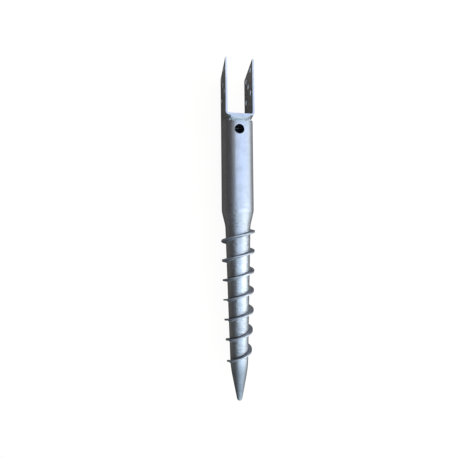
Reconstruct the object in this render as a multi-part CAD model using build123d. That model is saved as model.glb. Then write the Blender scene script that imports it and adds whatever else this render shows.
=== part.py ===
"""Foundation ground screw: a swaged steel tube with a forged point, a welded helical flight
and a bent fork bracket on its head.

The pieces are modelled upright in millimetres, with the axis on Z and the point at z = 0, and
lie_down() then lays the finished screw on its side: its axis runs along +Y towards the fork,
the fork's ears stand left and right at -X and +X, and the origin is under the middle of the
box that holds the screw, on the surface it lies on.
"""

from build123d import *
import math
import os

# Driving dimensions: the tube
TUBE_DIAMETER = 68.0
TUBE_WALL = 2.5
TUBE_LENGTH = 583.0
SWAGE_TOP = 393.0
SWAGE_BOTTOM = 362.0
SWAGE_TOP_BLEND = 30.0
SWAGE_BOTTOM_BLEND = 45.0
SHANK_TOP_RADIUS = 26.7
SHANK_END_RADIUS = 18.3
POINT_LENGTH = 69.0
POINT_BLEND = 200.0
NOSE_RADIUS = 5.7
SOLID_POINT_LENGTH = 38.0
BAR_HOLE_DIAMETER = 20.0
BAR_HOLE_BELOW_HEAD = 25.0

# Driving dimensions: the fork bracket
FORK_GAP = 51.0
FORK_PLATE = 4.0
FORK_DEPTH = 84.0
FORK_BEND_RADIUS = 3.0
FORK_EDGE_ROUNDING = 0.6
EAR_HEIGHT = 113.0
EAR_CORNER_RADIUS = 1.2
EAR_HOLE_DIAMETER = 11.0
EAR_HOLE_SPACING_DEEP = 46.0
EAR_HOLE_SPACING_HIGH = 48.0
EAR_HOLE_BELOW_TOP = 13.0

# Driving dimensions: the flight, whose turns are counted from the crest at +X nearest the head
FLIGHT_PITCH = 41.0
FLIGHT_THICKNESS = 3.0
FLIGHT_PROTRUSION = 9.7
FLIGHT_BELOW_SWAGE = 10.5
FLIGHT_TURNS_DOWN = 6.64
FLIGHT_TURNS_UP = 0.11
FLIGHT_LEAD_TURNS = 2.6
FLIGHT_LEAD_DROP = 2.9
FLIGHT_RUN_OUT_TURNS = 0.12
FLIGHT_END_PROTRUSION = 2.0
FLIGHT_END_DROP = 4.5
FLIGHT_END_DROP_TURNS = 0.64
FLIGHT_SEAT_CLEARANCE = 0.02
FLIGHT_POINTS_PER_TURN = 20

# Driving dimensions: the weld beads between the fork and the tube
WELD_LEG_DOWN = 8.5
WELD_LEG_OUT = 14.0
WELD_SPAN_DEGREES = 50.0
WELD_CROWN = 0.8

TUBE_RADIUS = TUBE_DIAMETER / 2
FORK_SEAT = TUBE_LENGTH + FORK_PLATE
OVERALL_LENGTH = FORK_SEAT + EAR_HEIGHT
FORK_WIDTH = FORK_GAP + 2 * FORK_PLATE
SHANK_TAPER = (SHANK_TOP_RADIUS - SHANK_END_RADIUS) / (SWAGE_BOTTOM - POINT_LENGTH)


def shank_radius(z):
    """Outside radius of the tapering shank at a height above the point's tip."""
    return SHANK_END_RADIUS + SHANK_TAPER * (z - POINT_LENGTH)


def seat_radius(z):
    """Outside radius where the flight seats: the shank's, and the swage's blend where that starts."""
    taper = math.atan(SHANK_TAPER)
    cone = math.atan2(TUBE_RADIUS - SHANK_TOP_RADIUS, SWAGE_TOP - SWAGE_BOTTOM)
    start = SWAGE_BOTTOM - SWAGE_BOTTOM_BLEND * math.tan((cone - taper) / 2) * math.cos(taper)
    if z <= start:
        return shank_radius(z)
    centre_radius = shank_radius(start) + SWAGE_BOTTOM_BLEND * math.cos(taper)
    centre_z = start - SWAGE_BOTTOM_BLEND * math.sin(taper)
    return centre_radius - math.sqrt(SWAGE_BOTTOM_BLEND**2 - (z - centre_z) ** 2)


def nose_sweep():
    """Angle from the tip, round the ball of the nose, to where the straight flank leaves it."""
    rise = POINT_LENGTH - NOSE_RADIUS
    reach = math.hypot(SHANK_END_RADIUS, rise)
    flank = math.atan2(SHANK_END_RADIUS, rise) - math.asin(NOSE_RADIUS / reach)
    return math.pi / 2 - flank


def on_nose(angle):
    """A point of the half section on the ball of the nose, at an angle from the tip."""
    return NOSE_RADIUS * math.sin(angle), NOSE_RADIUS * (1 - math.cos(angle))


def outer_outline():
    """Half section of the outside, from the tip to the sawn head of the tube."""
    sweep = nose_sweep()
    nose = ThreePointArc((0, 0), on_nose(sweep / 2), on_nose(sweep))
    flank = FilletPolyline(
        on_nose(sweep),
        (SHANK_END_RADIUS, POINT_LENGTH),
        (SHANK_TOP_RADIUS, SWAGE_BOTTOM),
        (TUBE_RADIUS, SWAGE_TOP),
        (TUBE_RADIUS, TUBE_LENGTH),
        radius=[POINT_BLEND, SWAGE_BOTTOM_BLEND, SWAGE_TOP_BLEND],
    )
    return nose + flank


def inner_outline():
    """Half section of the hollow, which ends in a cone above the solid forged point."""
    return Polyline(
        (0, SOLID_POINT_LENGTH),
        (SHANK_END_RADIUS - TUBE_WALL, POINT_LENGTH + TUBE_WALL),
        (SHANK_TOP_RADIUS - TUBE_WALL, SWAGE_BOTTOM),
        (TUBE_RADIUS - TUBE_WALL, SWAGE_TOP),
        (TUBE_RADIUS - TUBE_WALL, TUBE_LENGTH),
    )


def revolved(outline, top):
    """Solid of revolution about Z under a half section that starts on the axis."""
    end = outline @ 1
    closing = Polyline((end.X, end.Y), (0, top), (0, (outline @ 0).Y))
    section = make_face(Plane.XZ * (outline + closing))
    return revolve(section, Axis.Z)


def make_tube():
    """Swaged tube with a forged point and a through hole for the turning bar."""
    tube = revolved(outer_outline(), TUBE_LENGTH) - revolved(inner_outline(), TUBE_LENGTH)
    bar_hole = Cylinder(BAR_HOLE_DIAMETER / 2, 2 * TUBE_DIAMETER, rotation=(90, 0, 0))
    return tube - Pos(0, 0, TUBE_LENGTH - BAR_HOLE_BELOW_HEAD) * bar_hole


def run_out(turn):
    """How much of the flight's protrusion is left near its two cut ends, from 0 to 1."""
    to_end = min(turn + FLIGHT_TURNS_DOWN, FLIGHT_TURNS_UP - turn)
    share = min(max(to_end / FLIGHT_RUN_OUT_TURNS, 0.0), 1.0)
    return math.sin(share * math.pi / 2)


def flight_protrusion(turn):
    """Radial width of the flight: full on the upper turns, less towards the point."""
    into_lead = max(0.0, FLIGHT_LEAD_TURNS - (turn + FLIGHT_TURNS_DOWN)) / FLIGHT_LEAD_TURNS
    full = FLIGHT_PROTRUSION - FLIGHT_LEAD_DROP * into_lead
    return FLIGHT_END_PROTRUSION + (full - FLIGHT_END_PROTRUSION) * run_out(turn)


def flight_height(turn):
    """Height of the flight's middle above the tip: an even pitch, steeper near the point."""
    into_end = max(0.0, FLIGHT_END_DROP_TURNS - (turn + FLIGHT_TURNS_DOWN)) / FLIGHT_END_DROP_TURNS
    crest = SWAGE_BOTTOM - FLIGHT_BELOW_SWAGE
    return crest + FLIGHT_PITCH * turn - FLIGHT_END_DROP * into_end**2


def flight_edge(side, proud):
    """One of the flight's four long edges: its upper or lower side, at the root or the crest."""
    steps = round((FLIGHT_TURNS_DOWN + FLIGHT_TURNS_UP) * FLIGHT_POINTS_PER_TURN)
    points = []
    for step in range(steps + 1):
        turn = -FLIGHT_TURNS_DOWN + (FLIGHT_TURNS_DOWN + FLIGHT_TURNS_UP) * step / steps
        z = flight_height(turn) + side * FLIGHT_THICKNESS / 2
        radius = seat_radius(z) + FLIGHT_SEAT_CLEARANCE + proud * flight_protrusion(turn)
        angle = 2 * math.pi * turn
        points.append((radius * math.cos(angle), radius * math.sin(angle), z))
    return Spline(*points)


def make_flight():
    """Right-handed helical strip wound on the shank: ruled faces between four long edges."""
    root_low, root_high = flight_edge(-1, 0), flight_edge(1, 0)
    crest_low, crest_high = flight_edge(-1, 1), flight_edge(1, 1)
    corners = [root_low, crest_low, crest_high, root_high]
    faces = []
    for first, second in zip(corners, corners[1:] + corners[:1]):
        faces.append(Face.make_surface_from_curves(first.edge(), second.edge()))
    for end in (0, 1):
        ring = Polyline(*[edge @ end for edge in corners], close=True)
        faces.append(make_face(ring).face())
    return Solid(Shell(faces))


def ear_holes():
    """Drills for the five holes that go through both ears: four corners and the middle."""
    drill = Cylinder(EAR_HOLE_DIAMETER / 2, 2 * FORK_WIDTH, rotation=(0, 90, 0))
    middle = OVERALL_LENGTH - EAR_HOLE_BELOW_TOP - EAR_HOLE_SPACING_HIGH / 2
    places = [Pos(0, 0, middle)]
    for deep in (-0.5, 0.5):
        for high in (-0.5, 0.5):
            places.append(Pos(0, deep * EAR_HOLE_SPACING_DEEP, middle + high * EAR_HOLE_SPACING_HIGH))
    return [place * drill for place in places]


def make_fork():
    """Fork bracket bent from one strip: a flat seat and two upright drilled ears."""
    outside = Rectangle(FORK_WIDTH, FORK_PLATE + EAR_HEIGHT, align=(Align.CENTER, Align.MIN))
    outside = fillet(outside.vertices().group_by(Axis.Y)[0], FORK_BEND_RADIUS + FORK_PLATE)
    inside = Rectangle(FORK_GAP, EAR_HEIGHT, align=(Align.CENTER, Align.MIN))
    inside = fillet(inside.vertices().group_by(Axis.Y)[0], FORK_BEND_RADIUS)
    section = outside - Pos(0, FORK_PLATE) * inside
    fork = extrude(Plane.XZ * Pos(0, TUBE_LENGTH) * section, FORK_DEPTH / 2, both=True)
    ear_corners = fork.edges().filter_by(Axis.X).group_by(Axis.Z)[-1]
    fork = fillet(ear_corners, EAR_CORNER_RADIUS)
    front_and_back = fork.faces().filter_by(Axis.Y)
    fork = fillet(front_and_back.edges(), FORK_EDGE_ROUNDING)
    for drill in ear_holes():
        fork -= drill
    return fork


def make_weld(turned):
    """Fillet weld that fills the corner under the fork's seat out to the seat's own edge."""
    corner = (TUBE_RADIUS, TUBE_LENGTH)
    toe = (TUBE_RADIUS, TUBE_LENGTH - WELD_LEG_DOWN)
    lip = (TUBE_RADIUS + WELD_LEG_OUT, TUBE_LENGTH)
    slant = math.hypot(WELD_LEG_DOWN, WELD_LEG_OUT)
    crown = (
        (toe[0] + lip[0]) / 2 + WELD_CROWN * WELD_LEG_DOWN / slant,
        (toe[1] + lip[1]) / 2 - WELD_CROWN * WELD_LEG_OUT / slant,
    )
    outline = ThreePointArc(toe, crown, lip) + Polyline(lip, corner, toe)
    bead = revolve(make_face(Plane.XZ * outline), Axis.Z, WELD_SPAN_DEGREES)
    flat_of_seat = FORK_WIDTH - 2 * (FORK_BEND_RADIUS + FORK_PLATE)
    under_seat = Pos(0, 0, TUBE_LENGTH) * Box(flat_of_seat, FORK_DEPTH, 4 * WELD_LEG_DOWN)
    return (Rot(0, 0, turned - WELD_SPAN_DEGREES / 2) * bead) & under_seat


def lie_down(piece):
    """Lay an upright piece on the surface, with its front upwards and its head towards +Y."""
    return Pos(0, -OVERALL_LENGTH / 2, FORK_DEPTH / 2) * Rot(-90, 0, 0) * piece


def write(name, piece):
    """Write one node's STEP file."""
    export_step(lie_down(piece), os.path.join("parts", name + ".step"))


def main():
    os.makedirs("parts", exist_ok=True)
    write("swaged_tube", make_tube())
    write("helical_flight", make_flight())
    write("fork_bracket", make_fork())
    write("fork_welds", Compound(children=[make_weld(-90), make_weld(90)]))


main()
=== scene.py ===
"""Looks of a galvanised foundation ground screw, lying on a plain pale floor.

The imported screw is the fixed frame: its axis runs along +Y from the forged point to the fork,
and the floor is z = 0. This script adds the stitch welds that hold the helical flight to the
shank and the tacks under the fork's seat, gives each steel piece its zinc finish, and sets the
floor, the lamps and the camera.
"""

import math

import bpy
import numpy as np
from mathutils import Matrix, Vector


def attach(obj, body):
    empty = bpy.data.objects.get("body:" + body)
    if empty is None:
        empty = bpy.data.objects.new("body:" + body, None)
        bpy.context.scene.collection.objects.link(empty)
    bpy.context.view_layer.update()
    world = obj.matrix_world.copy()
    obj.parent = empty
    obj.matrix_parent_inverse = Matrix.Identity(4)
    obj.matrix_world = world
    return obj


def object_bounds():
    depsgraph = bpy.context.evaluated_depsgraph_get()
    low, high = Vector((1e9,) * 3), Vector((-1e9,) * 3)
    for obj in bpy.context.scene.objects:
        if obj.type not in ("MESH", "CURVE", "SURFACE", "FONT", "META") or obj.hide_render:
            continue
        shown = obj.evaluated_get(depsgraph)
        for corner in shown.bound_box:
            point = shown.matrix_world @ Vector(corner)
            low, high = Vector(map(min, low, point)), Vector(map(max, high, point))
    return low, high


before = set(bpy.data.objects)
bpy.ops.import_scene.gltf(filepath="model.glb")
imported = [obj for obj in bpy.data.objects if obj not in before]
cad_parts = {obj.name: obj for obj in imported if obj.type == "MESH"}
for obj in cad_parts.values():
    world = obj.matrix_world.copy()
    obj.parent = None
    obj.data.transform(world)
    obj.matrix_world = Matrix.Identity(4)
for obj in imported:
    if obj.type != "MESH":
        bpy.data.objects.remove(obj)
cad_low, cad_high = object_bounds()

MM = 0.001
FULL_TURN = 2 * math.pi

# The screw's own sizes, in metres, which the welds and the finish follow. Heights are above the
# tip, and the flight's turns are counted from its crest, the place where it passes +X highest up.
AXIS_HEIGHT = (cad_low.z + cad_high.z) / 2
TIP_Y = cad_low.y
TUBE_RADIUS = 34.0 * MM
TUBE_LENGTH = 583.0 * MM
SHANK_END_RADIUS = 18.3 * MM
SHANK_END_HEIGHT = 69.0 * MM
SHANK_TOP_RADIUS = 26.7 * MM
SHANK_TOP_HEIGHT = 362.0 * MM
FLIGHT_PITCH = 41.0 * MM
FLIGHT_THICKNESS = 3.0 * MM
FLIGHT_CREST_HEIGHT = 351.5 * MM
FLIGHT_TURNS_DOWN = 6.64
FLIGHT_TURNS_UP = 0.11
FLIGHT_END_DROP = 4.5 * MM
FLIGHT_END_DROP_TURNS = 0.64

# The stitch welds under each turn: where the middle is, in turns, how long, in turns, and the leg
STITCHES = [
    (-0.40, 0.23, 3.6 * MM),
    (0.22, 0.18, 3.0 * MM),
]
STITCHED_TURNS = 7
STITCH_FROM_UPPER_END = 0.04
STITCH_FROM_LOWER_END = 0.02

# A stitch's rings, the points round each and the share of its length that they span, its ripples,
# each so many rings long, and the slower wander of its leg
STITCH_RINGS = 72
STITCH_AROUND = 14
STITCH_SPAN = (0.02, 0.98)
RINGS_IN_RIPPLE = 6
RIPPLE_SIZE = 0.06
WANDER_SIZE = 0.12
WANDER_WAVES = 1.7

# A stitch's section, in legs: its middle, its half width, and how far its corners are moved
SECTION_MIDDLE = 0.42
SECTION_REACH = 0.56
SECTION_CORNER = 0.10

# The seat's tacks: degrees round the tube, how far below the seat, half width, half height, how
# proud of the skin, and the phase of the lump's waves
SEAT_TACKS = [
    (-126.0, 2.4 * MM, 5.0 * MM, 3.6 * MM, 2.4 * MM, 0.4),
    (-50.0, 2.6 * MM, 4.0 * MM, 3.8 * MM, 2.2 * MM, 2.0),
    (58.0, 2.4 * MM, 4.6 * MM, 3.6 * MM, 2.2 * MM, 1.1),
    (132.0, 2.6 * MM, 5.0 * MM, 4.0 * MM, 2.4 * MM, 3.0),
]
TACK_RINGS = 18
TACK_AROUND = 28
TACK_WAVE = 0.10
TACK_WAVES_AROUND = 3
TACK_SKEW = 0.08
TACK_SKEW_WAVES = (5, 2)


# ---------------------------------------------------------------- surfaces

def add_surface(name, points, faces, slot):
    """A closed piece made from an array of points and a list of faces, riding on the screw."""
    mesh = bpy.data.meshes.new(name)
    mesh.from_pydata(points.tolist(), [], faces)
    mesh.validate()
    mesh.polygons.foreach_set("use_smooth", np.ones(len(mesh.polygons), dtype=bool))
    piece = bpy.data.objects.new(name, mesh)
    bpy.context.scene.collection.objects.link(piece)
    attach(piece, "root")
    return piece


def join_lumps(lumps):
    """One array of points and one list of faces from several lumps' points and faces."""
    points, faces, start = [], [], 0
    for lump_points, lump_faces in lumps:
        points.append(lump_points)
        faces += [[start + corner for corner in face] for face in lump_faces]
        start += len(lump_points)
    return np.concatenate(points), faces


def ring_faces(rings, around):
    """Quads of a grid of rings, closed round each ring, and triangles to a pole at either end.

    The points are the rings in order, then the first pole, then the last pole."""
    ring = np.arange(rings - 1)[:, None] * around
    here = np.arange(around)[None, :]
    after = (here + 1) % around
    quads = np.stack([ring + here, ring + after, ring + around + after, ring + around + here], -1)
    first_pole, last_pole = rings * around, rings * around + 1
    last_ring = (rings - 1) * around
    here, after = here[0], after[0]
    first_cap = np.stack([after, here, np.full(around, first_pole)], -1)
    last_cap = np.stack([last_ring + here, last_ring + after, np.full(around, last_pole)], -1)
    return quads.reshape(-1, 4).tolist() + first_cap.tolist() + last_cap.tolist()


def shank_radius(height):
    """Radius of the tapering shank at a height above the tip: a straight line between two."""
    share = (height - SHANK_END_HEIGHT) / (SHANK_TOP_HEIGHT - SHANK_END_HEIGHT)
    return SHANK_END_RADIUS + (SHANK_TOP_RADIUS - SHANK_END_RADIUS) * share


def flight_height(turn):
    """Height of the flight's middle above the tip: an even pitch, and steeper near the point
    by a square of how far the turn is into the flight's last stretch."""
    past_end = FLIGHT_END_DROP_TURNS - (turn + FLIGHT_TURNS_DOWN)
    into_end = np.maximum(0.0, past_end) / FLIGHT_END_DROP_TURNS
    return FLIGHT_CREST_HEIGHT + FLIGHT_PITCH * turn - FLIGHT_END_DROP * into_end**2


def on_screw(radius, angle, height):
    """Positions of points given by radius, angle and height above the tip.

    The angle is 0 at +X and grows as the right-handed flight climbs towards the head."""
    x = radius * np.cos(angle)
    y = TIP_Y + height
    z = AXIS_HEIGHT - radius * np.sin(angle)
    return np.stack([x, y, z], -1)


def stitch_weld(middle_turn, length_turns, leg, seed):
    """A short weld bead in the corner between the shank and the flight's side that faces the point.

    Its section is a triangle with rounded corners that reaches one leg out along the flight
    and one leg down the shank: a circle of cosine and sine, from whose outward part a cosine of
    twice the angle is taken, and to whose downward part it is added. Along the bead the leg
    swells and shrinks in ripples, and it closes to a point at both ends as the square root of
    a sine."""
    rng = np.random.default_rng(seed)
    along = np.linspace(*STITCH_SPAN, STITCH_RINGS)
    ripple_turns = along * STITCH_RINGS / RINGS_IN_RIPPLE
    ripples = 1 + RIPPLE_SIZE * np.sin(FULL_TURN * ripple_turns + rng.uniform(0, 6))
    wander = 1 + WANDER_SIZE * np.sin(FULL_TURN * along * WANDER_WAVES + rng.uniform(0, 6))
    size = leg * np.sqrt(np.sin(math.pi * along)) * ripples * wander
    lap = np.linspace(0, FULL_TURN, STITCH_AROUND, endpoint=False)
    corner = SECTION_CORNER * np.cos(2 * lap)
    out = size[:, None] * (SECTION_MIDDLE + SECTION_REACH * np.cos(lap) - corner)
    down = size[:, None] * (SECTION_MIDDLE + SECTION_REACH * np.sin(lap) + corner)
    turn = middle_turn + (along[:, None] - 0.5) * length_turns
    height = flight_height(turn) - FLIGHT_THICKNESS / 2 - down
    angle = FULL_TURN * turn * np.ones_like(out)
    rings = on_screw(shank_radius(height) + out, angle, height)
    poles = rings[[0, -1]].mean(1)
    return np.concatenate([rings.reshape(-1, 3), poles]), ring_faces(STITCH_RINGS, STITCH_AROUND)


def make_flight_welds():
    """All the stitch welds of the flight: a long and a short bead under each turn, as far as
    they lie clear of the flight's two ends."""
    beads = []
    highest = FLIGHT_TURNS_UP - STITCH_FROM_UPPER_END
    lowest = -FLIGHT_TURNS_DOWN + STITCH_FROM_LOWER_END
    seed = 0
    for whole in range(STITCHED_TURNS):
        for offset, length, leg in STITCHES:
            seed += 1
            middle = offset - whole
            if middle + length / 2 <= highest and middle - length / 2 >= lowest:
                beads.append(stitch_weld(middle, length, leg, seed))
    return add_surface("flight_welds", *join_lumps(beads), "galvanised_weld")


def seat_tack(seat_degrees, below_seat, wide, high, proud, phase):
    """A lump of weld metal, half sunk in the tube's skin: an ellipsoid whose radius swells and
    shrinks with a wave round the lump and a slanting one, held down to the seat's level."""
    slope = np.linspace(0, math.pi, TACK_RINGS + 2)[1:-1, None]
    lap = np.linspace(0, FULL_TURN, TACK_AROUND, endpoint=False)[None, :]
    down_waves, round_waves = TACK_SKEW_WAVES
    wave = TACK_WAVE * np.sin(TACK_WAVES_AROUND * lap + phase) * np.sin(slope)
    lump = 1 + wave + TACK_SKEW * np.sin(down_waves * slope + round_waves * lap)
    sideways = wide * lump * np.sin(slope) * np.cos(lap)
    upwards = high * lump * np.sin(slope) * np.sin(lap)
    outwards = proud * lump * np.cos(slope)
    middle_angle = math.radians(seat_degrees)
    middle_height = TUBE_LENGTH - below_seat
    height = np.minimum(middle_height + upwards, TUBE_LENGTH)
    rings = on_screw(TUBE_RADIUS + outwards, middle_angle + sideways / TUBE_RADIUS, height)
    pole_radius = TUBE_RADIUS + proud * np.array([1.0, -1.0])
    poles = on_screw(pole_radius, np.full(2, middle_angle), np.full(2, middle_height))
    return np.concatenate([rings.reshape(-1, 3), poles]), ring_faces(TACK_RINGS, TACK_AROUND)


def make_seat_tacks():
    """The four lumps of weld metal just under the seat's corners."""
    tacks = [seat_tack(*tack) for tack in SEAT_TACKS]
    return add_surface("seat_tacks", *join_lumps(tacks), "galvanised_weld")


# ---------------------------------------------------------------- shader nodes

def new_group(name, inputs, outputs):
    """A shader node group with named sockets; each input is (name, kind, default)."""
    group = bpy.data.node_groups.new(name, "ShaderNodeTree")
    for title, kind, default in inputs:
        socket = group.interface.new_socket(title, in_out="INPUT", socket_type=kind)
        if default is not None:
            socket.default_value = default
    for title, kind in outputs:
        group.interface.new_socket(title, in_out="OUTPUT", socket_type=kind)
    return group, group.nodes.new("NodeGroupInput"), group.nodes.new("NodeGroupOutput")


def noise(tree, vector, scale, detail, roughness):
    """A noise texture of so many features a metre along the given coordinates."""
    node = tree.nodes.new("ShaderNodeTexNoise")
    node.inputs["Scale"].default_value = scale
    node.inputs["Detail"].default_value = detail
    node.inputs["Roughness"].default_value = roughness
    tree.links.new(vector, node.inputs["Vector"])
    return node.outputs["Fac"]


def crystals(tree, vector, scale):
    """Cells of so many a metre, each with a level of its own."""
    cells = tree.nodes.new("ShaderNodeTexVoronoi")
    cells.inputs["Scale"].default_value = scale
    tree.links.new(vector, cells.inputs["Vector"])
    level = tree.nodes.new("ShaderNodeRGBToBW")
    tree.links.new(cells.outputs["Color"], level.inputs[0])
    return level.outputs[0]


def stretch(tree, vector, scale):
    """Coordinates scaled by a different amount along each axis."""
    node = tree.nodes.new("ShaderNodeMapping")
    node.inputs["Scale"].default_value = scale
    tree.links.new(vector, node.inputs["Vector"])
    return node.outputs["Vector"]


def split_axes(tree, vector):
    """The X, Y and Z sockets of a vector."""
    node = tree.nodes.new("ShaderNodeSeparateXYZ")
    tree.links.new(vector, node.inputs[0])
    return node.outputs


def math_node(tree, operation, first, second=0.0):
    """One arithmetic step on a socket, or between two sockets or numbers."""
    node = tree.nodes.new("ShaderNodeMath")
    node.operation = operation
    for socket, value in zip(node.inputs, (first, second)):
        if isinstance(value, (int, float)):
            socket.default_value = value
        else:
            tree.links.new(value, socket)
    return node.outputs[0]


def weighted_sum(tree, *parts):
    """The sum of several values, each a pair of a value and its weight."""
    shares = [math_node(tree, "MULTIPLY", value, weight) for value, weight in parts]
    total = shares[0]
    for share in shares[1:]:
        total = math_node(tree, "ADD", total, share)
    return total


def remap(tree, value, low, high, to_low, to_high):
    """Map a value from one range to another, held at the ends."""
    node = tree.nodes.new("ShaderNodeMapRange")
    titles = ("From Min", "From Max", "To Min", "To Max")
    for title, number in zip(titles, (low, high, to_low, to_high)):
        node.inputs[title].default_value = number
    tree.links.new(value, node.inputs["Value"])
    return node.outputs["Result"]


def between_heights(tree, along, heights, at_low, at_high):
    """A value that goes from one number to another between two heights above the tip."""
    low, high = heights
    return remap(tree, along, TIP_Y + low, TIP_Y + high, at_low, at_high)


def mix_colour(tree, factor, first, second):
    """Blend two colours by a factor socket."""
    node = tree.nodes.new("ShaderNodeMix")
    node.data_type = "RGBA"
    tree.links.new(factor, node.inputs["Factor"])
    for socket, value in ((node.inputs["A"], first), (node.inputs["B"], second)):
        if isinstance(value, tuple):
            socket.default_value = value
        else:
            tree.links.new(value, socket)
    return node.outputs["Result"]


# ---------------------------------------------------------------- zinc coat

# The coat's patterns: features a metre, or a scale along each axis where they are stretched, and
# the detail and roughness of each noise
CLOUD_SCALE = 22.0
STREAK_SCALES = (60.0, 9.0, 60.0)
SPANGLE_SCALE = 140.0
RING_SCALES = (75.0, 300.0, 75.0)
GRAIN_SCALE = 900.0
CLOUD_NOISE = (5.0, 0.6)
STREAK_NOISE = (4.0, 0.6)
RING_NOISE = (3.0, 0.5)
GRAIN_NOISE = (2.0, 0.5)

# Each pattern's share of the coat's tone, and the range of that sum which goes from dark to light
CLOUD_SHARE, STREAK_SHARE, SPANGLE_SHARE = 0.55, 0.30, 0.15
TONE_RANGE = (0.34, 0.66)

# Roughness over the same sum, and what smoothness takes off it and dullness adds to it
ROUGH_TONES = (0.3, 0.7)
ROUGHNESS = (0.52, 0.36)
SMOOTHNESS_TAKES = 0.12
DULLNESS_ADDS = 0.15

# The tone of dull zinc, which also serves as painted shade inside the tube and in the flight's corners,
# and how much of it covers the dark and the light clouds
DULL_AND_SHADE_TONE = (0.062, 0.073, 0.088, 1)
DULL_CLOUDS = (0.3, 0.6)
DULL_COVER = (1.0, 0.9)

# How high the clouds and the grain stand in the relief
CLOUD_RELIEF = 0.35
GRAIN_RELIEF = 0.04
RELIEF_DEPTH = 0.6 * MM


def zinc_group():
    """Hot-dip zinc: soft clouds of tone, crystal spangle, rings left by swaging and fine grain, and a
    dull tone that is partly real dull zinc and partly painted shade.

    Puts out a colour, a roughness and a height, all of which change over the surface."""
    group, inside, outside = new_group(
        "zinc coat",
        [
            ("Vector", "NodeSocketVector", None),
            ("Light Tone", "NodeSocketColor", (0.62, 0.67, 0.75, 1)),
            ("Dark Tone", "NodeSocketColor", (0.36, 0.38, 0.42, 1)),
            ("Rings", "NodeSocketFloat", 0.5),
            ("Grain", "NodeSocketFloat", 0.5),
            ("Smoothness", "NodeSocketFloat", 0.0),
            ("Dullness And Shade", "NodeSocketFloat", 0.0),
        ],
        [("Colour", "NodeSocketColor"), ("Roughness", "NodeSocketFloat"), ("Height", "NodeSocketFloat")],
    )
    given = inside.outputs
    vector = given["Vector"]
    clouds = noise(group, vector, CLOUD_SCALE, *CLOUD_NOISE)
    streaks = noise(group, stretch(group, vector, STREAK_SCALES), 1.0, *STREAK_NOISE)
    spangle = crystals(group, vector, SPANGLE_SCALE)
    rings = noise(group, stretch(group, vector, RING_SCALES), 1.0, *RING_NOISE)
    grain = noise(group, vector, GRAIN_SCALE, *GRAIN_NOISE)

    tone = weighted_sum(group, (clouds, CLOUD_SHARE), (streaks, STREAK_SHARE), (spangle, SPANGLE_SHARE))
    lightness = remap(group, tone, *TONE_RANGE, 0.0, 1.0)
    colour = mix_colour(group, lightness, given["Dark Tone"], given["Light Tone"])
    # The dullness input pulls the colour towards the dull tone: real dull zinc on the point, painted
    # shade in the bore and in the flight's corners.
    cover = remap(group, clouds, *DULL_CLOUDS, *DULL_COVER)
    dull_and_shade = math_node(group, "MULTIPLY", given["Dullness And Shade"], cover)
    group.links.new(mix_colour(group, dull_and_shade, colour, DULL_AND_SHADE_TONE), outside.inputs["Colour"])

    rough = remap(group, tone, *ROUGH_TONES, *ROUGHNESS)
    smoothed = math_node(group, "MULTIPLY", given["Smoothness"], SMOOTHNESS_TAKES)
    dulled = math_node(group, "MULTIPLY", given["Dullness And Shade"], DULLNESS_ADDS)
    rough = math_node(group, "ADD", math_node(group, "SUBTRACT", rough, smoothed), dulled)
    group.links.new(rough, outside.inputs["Roughness"])

    fine = math_node(group, "MULTIPLY", grain, GRAIN_RELIEF)
    height = weighted_sum(group, (rings, given["Rings"]), (clouds, CLOUD_RELIEF), (fine, given["Grain"]))
    group.links.new(height, outside.inputs["Height"])
    return group


def zinc_material(name, light, dark, rings, grain, smooth, bump, metallic):
    """One steel piece's zinc finish, from the shared coat group."""
    material = bpy.data.materials.new(name)
    material.use_nodes = True
    tree = material.node_tree
    shader = tree.nodes["Principled BSDF"]
    place = tree.nodes.new("ShaderNodeTexCoord")
    coat = tree.nodes.new("ShaderNodeGroup")
    coat.node_tree = ZINC
    tree.links.new(place.outputs["Object"], coat.inputs["Vector"])
    coat.inputs["Light Tone"].default_value = (*light, 1)
    coat.inputs["Dark Tone"].default_value = (*dark, 1)
    coat.inputs["Rings"].default_value = rings
    coat.inputs["Grain"].default_value = grain
    coat.inputs["Smoothness"].default_value = smooth
    relief = tree.nodes.new("ShaderNodeBump")
    relief.inputs["Strength"].default_value = bump
    relief.inputs["Distance"].default_value = RELIEF_DEPTH
    tree.links.new(coat.outputs["Height"], relief.inputs["Height"])
    tree.links.new(coat.outputs["Colour"], shader.inputs["Base Color"])
    tree.links.new(coat.outputs["Roughness"], shader.inputs["Roughness"])
    tree.links.new(relief.outputs["Normal"], shader.inputs["Normal"])
    shader.inputs["Metallic"].default_value = metallic
    return material


def zinc_parts(material):
    """A zinc material's node tree, its coat and its coordinates."""
    tree = material.node_tree
    coat = next(node for node in tree.nodes if node.type == "GROUP")
    place = next(node for node in tree.nodes if node.type == "TEX_COORD")
    return tree, coat, place.outputs


# ---------------------------------------------------------------- wear, painted shade and painted highlight

# Stretches of height above the tip, over which the zinc changes
NOSE = (8.0 * MM, 24.0 * MM)
POINT_TO_SHANK = (60.0 * MM, 84.0 * MM)
RIPPLES_GROW = (60.0 * MM, 110.0 * MM)
RIPPLES_SETTLE = (380.0 * MM, 430.0 * MM)
FLIGHT_STARTS = (88.0 * MM, 96.0 * MM)
FLIGHT_STOPS = (356.0 * MM, 360.0 * MM)
LAST_TURN_ENDS = (112.0 * MM, 120.0 * MM)
TURNING_HOLE_STARTS = (520.0 * MM, 530.0 * MM)
CUT_END = (TUBE_LENGTH - 1.0 * MM, TUBE_LENGTH - 0.5 * MM)

# Depths and distances over which a mask fades: under the tube's skin and beside the flight, for painted
# # shade, and from the middle of the flight's rim to its edges, for the painted highlight
SKIN = (TUBE_RADIUS - 0.7 * MM, TUBE_RADIUS - 0.3 * MM)
CORNER = (FLIGHT_THICKNESS / 2 + 0.4 * MM, FLIGHT_THICKNESS / 2 + 2.5 * MM)
RIM_CROWN = (0.5 * MM, 1.4 * MM)

# How far a surface of the flight faces along the axis, from a rim to a side
RIM_FACING = (0.3, 0.6)

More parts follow.
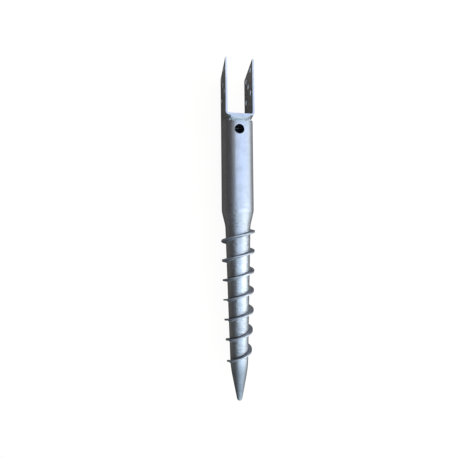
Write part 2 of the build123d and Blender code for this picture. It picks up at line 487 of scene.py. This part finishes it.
RIPPLES_BELOW_SWAGE = 4.5
RIPPLES_ON_TUBE = 0.5
RIPPLES_ON_POINT = 0.25
POINT_DULLNESS = 0.50
NOSE_DULLNESS = 0.75
LAST_TURN_RIM = 0.8
# Tones of the painted highlight on the flight's rim
RIM_HIGHLIGHT_LIGHT_TONE = (0.80, 0.81, 0.83, 1)
RIM_HIGHLIGHT_DARK_TONE = (0.58, 0.59, 0.61, 1)


def from_flight_middle(tree, axes):
    """How far a point is from the flight's middle along the axis, in metres, from its height
    and its angle round the axis. It leaves out the flight's steeper end near the point."""
    depth = math_node(tree, "SUBTRACT", AXIS_HEIGHT, axes["Z"])
    turns = math_node(tree, "DIVIDE", math_node(tree, "ARCTAN2", depth, axes["X"]), FULL_TURN)
    height = math_node(tree, "SUBTRACT", axes["Y"], TIP_Y + FLIGHT_CREST_HEIGHT)
    pitches = math_node(tree, "DIVIDE", height, FLIGHT_PITCH)
    off_turn = math_node(tree, "SUBTRACT", pitches, turns)
    phase = math_node(tree, "FRACT", math_node(tree, "ADD", off_turn, 0.5))
    share = math_node(tree, "ABSOLUTE", math_node(tree, "SUBTRACT", phase, 0.5))
    return math_node(tree, "MULTIPLY", share, FLIGHT_PITCH)


def from_axis(tree, axes):
    """How far a point is from the screw's axis, in metres."""
    depth = math_node(tree, "SUBTRACT", axes["Z"], AXIS_HEIGHT)
    squares = weighted_sum(tree, (axes["X"], axes["X"]), (depth, depth))
    return math_node(tree, "SQRT", squares)


def swaging_ripples(tree, axes):
    """Strong ripples below the swage, slight ones on the plain tube and on the forged point."""
    rippled = between_heights(tree, axes["Y"], RIPPLES_SETTLE, RIPPLES_BELOW_SWAGE, RIPPLES_ON_TUBE)
    even = between_heights(tree, axes["Y"], RIPPLES_GROW, RIPPLES_ON_POINT, 1.0)
    return math_node(tree, "MULTIPLY", rippled, even)


def dull_point(tree, axes):
    """Duller zinc on the forged point, and a little less of it on its nose."""
    below = between_heights(tree, axes["Y"], POINT_TO_SHANK, POINT_DULLNESS, 0.0)
    above = between_heights(tree, axes["Y"], NOSE, NOSE_DULLNESS, 1.0)
    return math_node(tree, "MULTIPLY", below, above)


def bore_painted_shade(tree, axes):
    """Painted shade on the turning hole's cut wall and inside the tube behind it, which lie nearer
    the axis than the skin, but not on the tube's cut end under the seat."""
    within = remap(tree, from_axis(tree, axes), *SKIN, 1.0, 0.0)
    head = between_heights(tree, axes["Y"], TURNING_HOLE_STARTS, 0.0, 1.0)
    below_end = between_heights(tree, axes["Y"], CUT_END, 1.0, 0.0)
    return math_node(tree, "MULTIPLY", math_node(tree, "MULTIPLY", within, head), below_end)


def flight_corner_shade(tree, axes):
    """Painted shade on the shank in the corner on either side of the flight: darker zinc where the
    flight shades it.
    """
    near = remap(tree, from_flight_middle(tree, axes), *CORNER, 1.0, 0.0)
    below_top = between_heights(tree, axes["Y"], FLIGHT_STOPS, 1.0, 0.0)
    above_end = between_heights(tree, axes["Y"], FLIGHT_STARTS, 0.0, 1.0)
    return math_node(tree, "MULTIPLY", near, math_node(tree, "MULTIPLY", below_top, above_end))


def wear_and_shade_along_tube(material):
    """Where the tube's zinc changes: its ripples, where the point is dull, and painted shade inside the
    bore and in the corners beside the flight.
    """
    tree, coat, coordinates = zinc_parts(material)
    axes = split_axes(tree, coordinates["Object"])
    tree.links.new(swaging_ripples(tree, axes), coat.inputs["Rings"])
    # Painted shade inside the bore and beside the flight joins the point's real dullness here.
    dark = math_node(tree, "MAXIMUM", dull_point(tree, axes), bore_painted_shade(tree, axes))
    dark = math_node(tree, "MAXIMUM", dark, flight_corner_shade(tree, axes))
    tree.links.new(dark, coat.inputs["Dullness And Shade"])


def paint_rim_highlight(material):
    """A painted highlight: a lighter rim on the flight, where its surface faces away from the axis and
    not along it.

    It is lightest on the rim's middle line, and on the last turn it covers the rim's width."""
    tree, coat, coordinates = zinc_parts(material)
    facing = math_node(tree, "ABSOLUTE", split_axes(tree, coordinates["Normal"])["Y"])
    rim = remap(tree, facing, *RIM_FACING, 1.0, 0.0)
    axes = split_axes(tree, coordinates["Object"])
    crown = remap(tree, from_flight_middle(tree, axes), *RIM_CROWN, 1.0, 0.0)
    last_turn = between_heights(tree, axes["Y"], LAST_TURN_ENDS, LAST_TURN_RIM, 0.0)
    rim = math_node(tree, "MULTIPLY", rim, math_node(tree, "MAXIMUM", crown, last_turn))
    for title, tone in (("Light Tone", RIM_HIGHLIGHT_LIGHT_TONE), ("Dark Tone", RIM_HIGHLIGHT_DARK_TONE)):
        plain = tuple(coat.inputs[title].default_value)
        tree.links.new(mix_colour(tree, rim, plain, tone), coat.inputs[title])


def dress(piece, material):
    """Give a piece one material, in place of what it had."""
    piece.data.materials.clear()
    piece.data.materials.append(material)


# ---------------------------------------------------------------- stage

# The sky that lights the screw, and the white one that the camera sees in its place
SKY_COLOUR = (1.0, 0.86, 0.72, 1)
SKY_SEEN = (1.0, 1.0, 1.0, 1)
SKY_STRENGTH = 0.04
SKY_SEEN_STRENGTH = 1.0

# The floor's own colour, and the white that it gives out to the camera and to reflections
FLOOR_SIZE = 6.0
FLOOR_COLOUR = (0.160, 0.128, 0.100, 1)
FLOOR_ROUGHNESS = 0.9
FLOOR_SHINE = 0.1
FLOOR_WHITE = 0.93
FLOOR_IN_REFLECTIONS = 0.02

# Lamps that face the axis: name, degrees from straight up towards +X, place along Y, distance,
# width, length, radiance and colour
LAMPS = [
    ("shank skylight", 26, -0.95, 1.3, 2.75, 2.1, 1.22, (0.62, 0.80, 1.0)),
    ("tube skylight", 26, 0.6, 1.3, 2.75, 1.0, 1.16, (0.54, 0.685, 1.0)),
    ("fork skylight", 26, 1.75, 1.3, 2.75, 1.3, 1.45, (0.80, 0.90, 1.0)),
    ("window", 49, -0.27, 1.15, 0.72, 0.58, 1.6, (1.0, 0.98, 0.86)),
    ("low skylight", 84, 0.0, 1.3, 0.5, 3.6, 1.35, (0.84, 0.93, 1.0)),
    ("head fill", -26, 0.85, 1.3, 0.5, 0.9, 0.30, (1.0, 0.96, 0.94)),
]

# The card past the point's end: what it faces, its distance, width, height, radiance and colour
END_CARD_AIM = Vector((0.3, 0, 0.40))
END_CARD = (2.2, 2.4, 0.8, 2.6, (0.62, 0.82, 1.0))


def make_floor():
    """A plain floor that the camera sees as near white, with the screw's shadow kept.

    Glossy and transmission rays see only a small share of that white. At the full share the
    screw's flanks and the fork's ears come out nearly as pale as the floor."""
    half = FLOOR_SIZE / 2
    corners = np.array([[-half, -half, 0], [half, -half, 0], [half, half, 0], [-half, half, 0]])
    mesh = bpy.data.meshes.new("floor")
    mesh.from_pydata(corners.tolist(), [], [[0, 1, 2, 3]])
    floor = bpy.data.objects.new("floor", mesh)
    bpy.context.scene.collection.objects.link(floor)
    material = bpy.data.materials.new("pale floor")
    material.use_nodes = True
    tree = material.node_tree
    shader = tree.nodes["Principled BSDF"]
    shader.inputs["Base Color"].default_value = FLOOR_COLOUR
    shader.inputs["Roughness"].default_value = FLOOR_ROUGHNESS
    shader.inputs["Specular IOR Level"].default_value = FLOOR_SHINE
    shader.inputs["Emission Color"].default_value = (1, 1, 1, 1)
    ray = tree.nodes.new("ShaderNodeLightPath").outputs
    mirrored = math_node(tree, "MAXIMUM", ray["Is Glossy Ray"], ray["Is Transmission Ray"])
    mirrored = math_node(tree, "MULTIPLY", mirrored, FLOOR_IN_REFLECTIONS)
    seen = math_node(tree, "MULTIPLY", ray["Is Camera Ray"], FLOOR_WHITE)
    tree.links.new(math_node(tree, "MAXIMUM", seen, mirrored), shader.inputs["Emission Strength"])
    dress(floor, material)


def add_lamp(name, away, level, target, reach, across, length, radiance, colour):
    """A soft rectangular lamp that stands so far away from a target and faces it.

    level is the direction of its length, and its width is square to both directions."""
    beside = level.cross(away)
    data = bpy.data.lights.new(name, "AREA")
    data.shape = "RECTANGLE"
    data.size, data.size_y = across, length
    data.energy = radiance * math.pi * across * length
    data.color = colour
    lamp = bpy.data.objects.new(name, data)
    turned = Matrix([beside, level, away]).transposed()
    lamp.matrix_world = Matrix.Translation(target + away * reach) @ turned.to_4x4()
    lamp.visible_camera = False
    bpy.context.scene.collection.objects.link(lamp)


def overhead(side_degrees):
    """The direction away from the screw's axis, so many degrees from straight up towards +X."""
    side = math.radians(side_degrees)
    return Vector((math.sin(side), 0, math.cos(side)))


def make_lamps():
    """A wide blue skylight above and to the right, in three stretches over the shank, the tube and
    the fork, each with its own tone; a white window, a low skylight, a slight fill over the head,
    and a blue card past the point's end."""
    along = Vector((0, 1, 0))
    for name, side_degrees, place, *rest in LAMPS:
        add_lamp(name, overhead(side_degrees), along, Vector((0, place, AXIS_HEIGHT)), *rest)
    add_lamp("end card", -along, Vector((0, 0, 1)), END_CARD_AIM, *END_CARD)


def make_sky():
    """A dim warm sky round the screw. Only the camera sees it as white."""
    world = bpy.data.worlds.new("dim sky")
    bpy.context.scene.world = world
    world.use_nodes = True
    tree = world.node_tree
    sky = tree.nodes["Background"]
    seen = tree.nodes.new("ShaderNodeLightPath").outputs["Is Camera Ray"]
    tree.links.new(mix_colour(tree, seen, SKY_COLOUR, SKY_SEEN), sky.inputs["Color"])
    strength = remap(tree, seen, 0.0, 1.0, SKY_STRENGTH, SKY_SEEN_STRENGTH)
    tree.links.new(strength, sky.inputs["Strength"])


# ---------------------------------------------------------------- camera

CAMERA_REACH = 624.0 * MM
CAMERA_SIDE = math.radians(-9.71)
CAMERA_HEIGHT_ON_AXIS = 333.2 * MM
CAMERA_YAW = math.radians(1.73)
CAMERA_PITCH = math.radians(2.075)
CAMERA_ROLL = math.radians(-0.531)
CAMERA_LENS = 23.17
CAMERA_SENSOR = 36.0


def screw_to_row(vector):
    """A direction given as right, away and towards the head, in the frame's axes."""
    return Vector((vector.x, vector.z, -vector.y))


def make_camera():
    """A camera that looks down on the lying screw, so that it shows upright with its fork on top."""
    data = bpy.data.cameras.new("camera")
    data.lens = CAMERA_LENS
    data.sensor_width = CAMERA_SENSOR
    camera = bpy.data.objects.new("camera", data)
    bpy.context.scene.collection.objects.link(camera)
    place = Vector((
        math.sin(CAMERA_SIDE) * CAMERA_REACH,
        -math.cos(CAMERA_SIDE) * CAMERA_REACH,
        CAMERA_HEIGHT_ON_AXIS,
    ))
    turn = CAMERA_SIDE + CAMERA_YAW
    ahead = Vector((
        -math.sin(turn) * math.cos(CAMERA_PITCH),
        math.cos(turn) * math.cos(CAMERA_PITCH),
        math.sin(CAMERA_PITCH),
    ))
    right = ahead.cross(Vector((0, 0, 1))).normalized()
    up = right.cross(ahead)
    rolled_right = right * math.cos(CAMERA_ROLL) + up * math.sin(CAMERA_ROLL)
    rolled_up = up * math.cos(CAMERA_ROLL) - right * math.sin(CAMERA_ROLL)
    turned = Matrix([screw_to_row(v) for v in (rolled_right, rolled_up, -ahead)]).transposed()
    camera.matrix_world = turned.to_4x4()
    camera.location = screw_to_row(place) + Vector((0, TIP_Y, AXIS_HEIGHT))
    bpy.context.scene.camera = camera


# ---------------------------------------------------------------- the screw

ZINC = zinc_group()
TUBE_ZINC = zinc_material("tube zinc", (0.83, 0.84, 0.86), (0.65, 0.66, 0.67),
                          rings=1.0, grain=0.4, smooth=0.1, bump=0.5, metallic=1.0)
FLIGHT_ZINC = zinc_material("flight zinc", (0.55, 0.55, 0.56), (0.33, 0.33, 0.34),
                            rings=0.3, grain=1.0, smooth=-0.3, bump=0.6, metallic=0.75)
FORK_ZINC = zinc_material("fork zinc", (0.82, 0.83, 0.84), (0.64, 0.64, 0.65),
                          rings=0.2, grain=0.5, smooth=1.2, bump=0.25, metallic=1.0)
SEAT_WELD_ZINC = zinc_material("seat weld zinc", (0.82, 0.83, 0.84), (0.60, 0.61, 0.62),
                               rings=0.4, grain=1.0, smooth=0.2, bump=0.7, metallic=1.0)
STITCH_WELD_ZINC = zinc_material("stitch weld zinc", (0.60, 0.61, 0.62), (0.34, 0.35, 0.36),
                                 rings=0.4, grain=1.0, smooth=-0.4, bump=0.7, metallic=0.75)

wear_and_shade_along_tube(TUBE_ZINC)
paint_rim_highlight(FLIGHT_ZINC)
dress(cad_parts["swaged_tube"], TUBE_ZINC)
dress(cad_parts["helical_flight"], FLIGHT_ZINC)
dress(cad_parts["fork_bracket"], FORK_ZINC)
dress(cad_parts["fork_welds"], SEAT_WELD_ZINC)
dress(make_flight_welds(), STITCH_WELD_ZINC)
dress(make_seat_tacks(), SEAT_WELD_ZINC)

make_floor()
make_lamps()
make_sky()
make_camera()
bpy.context.scene.view_settings.view_transform = "Standard"
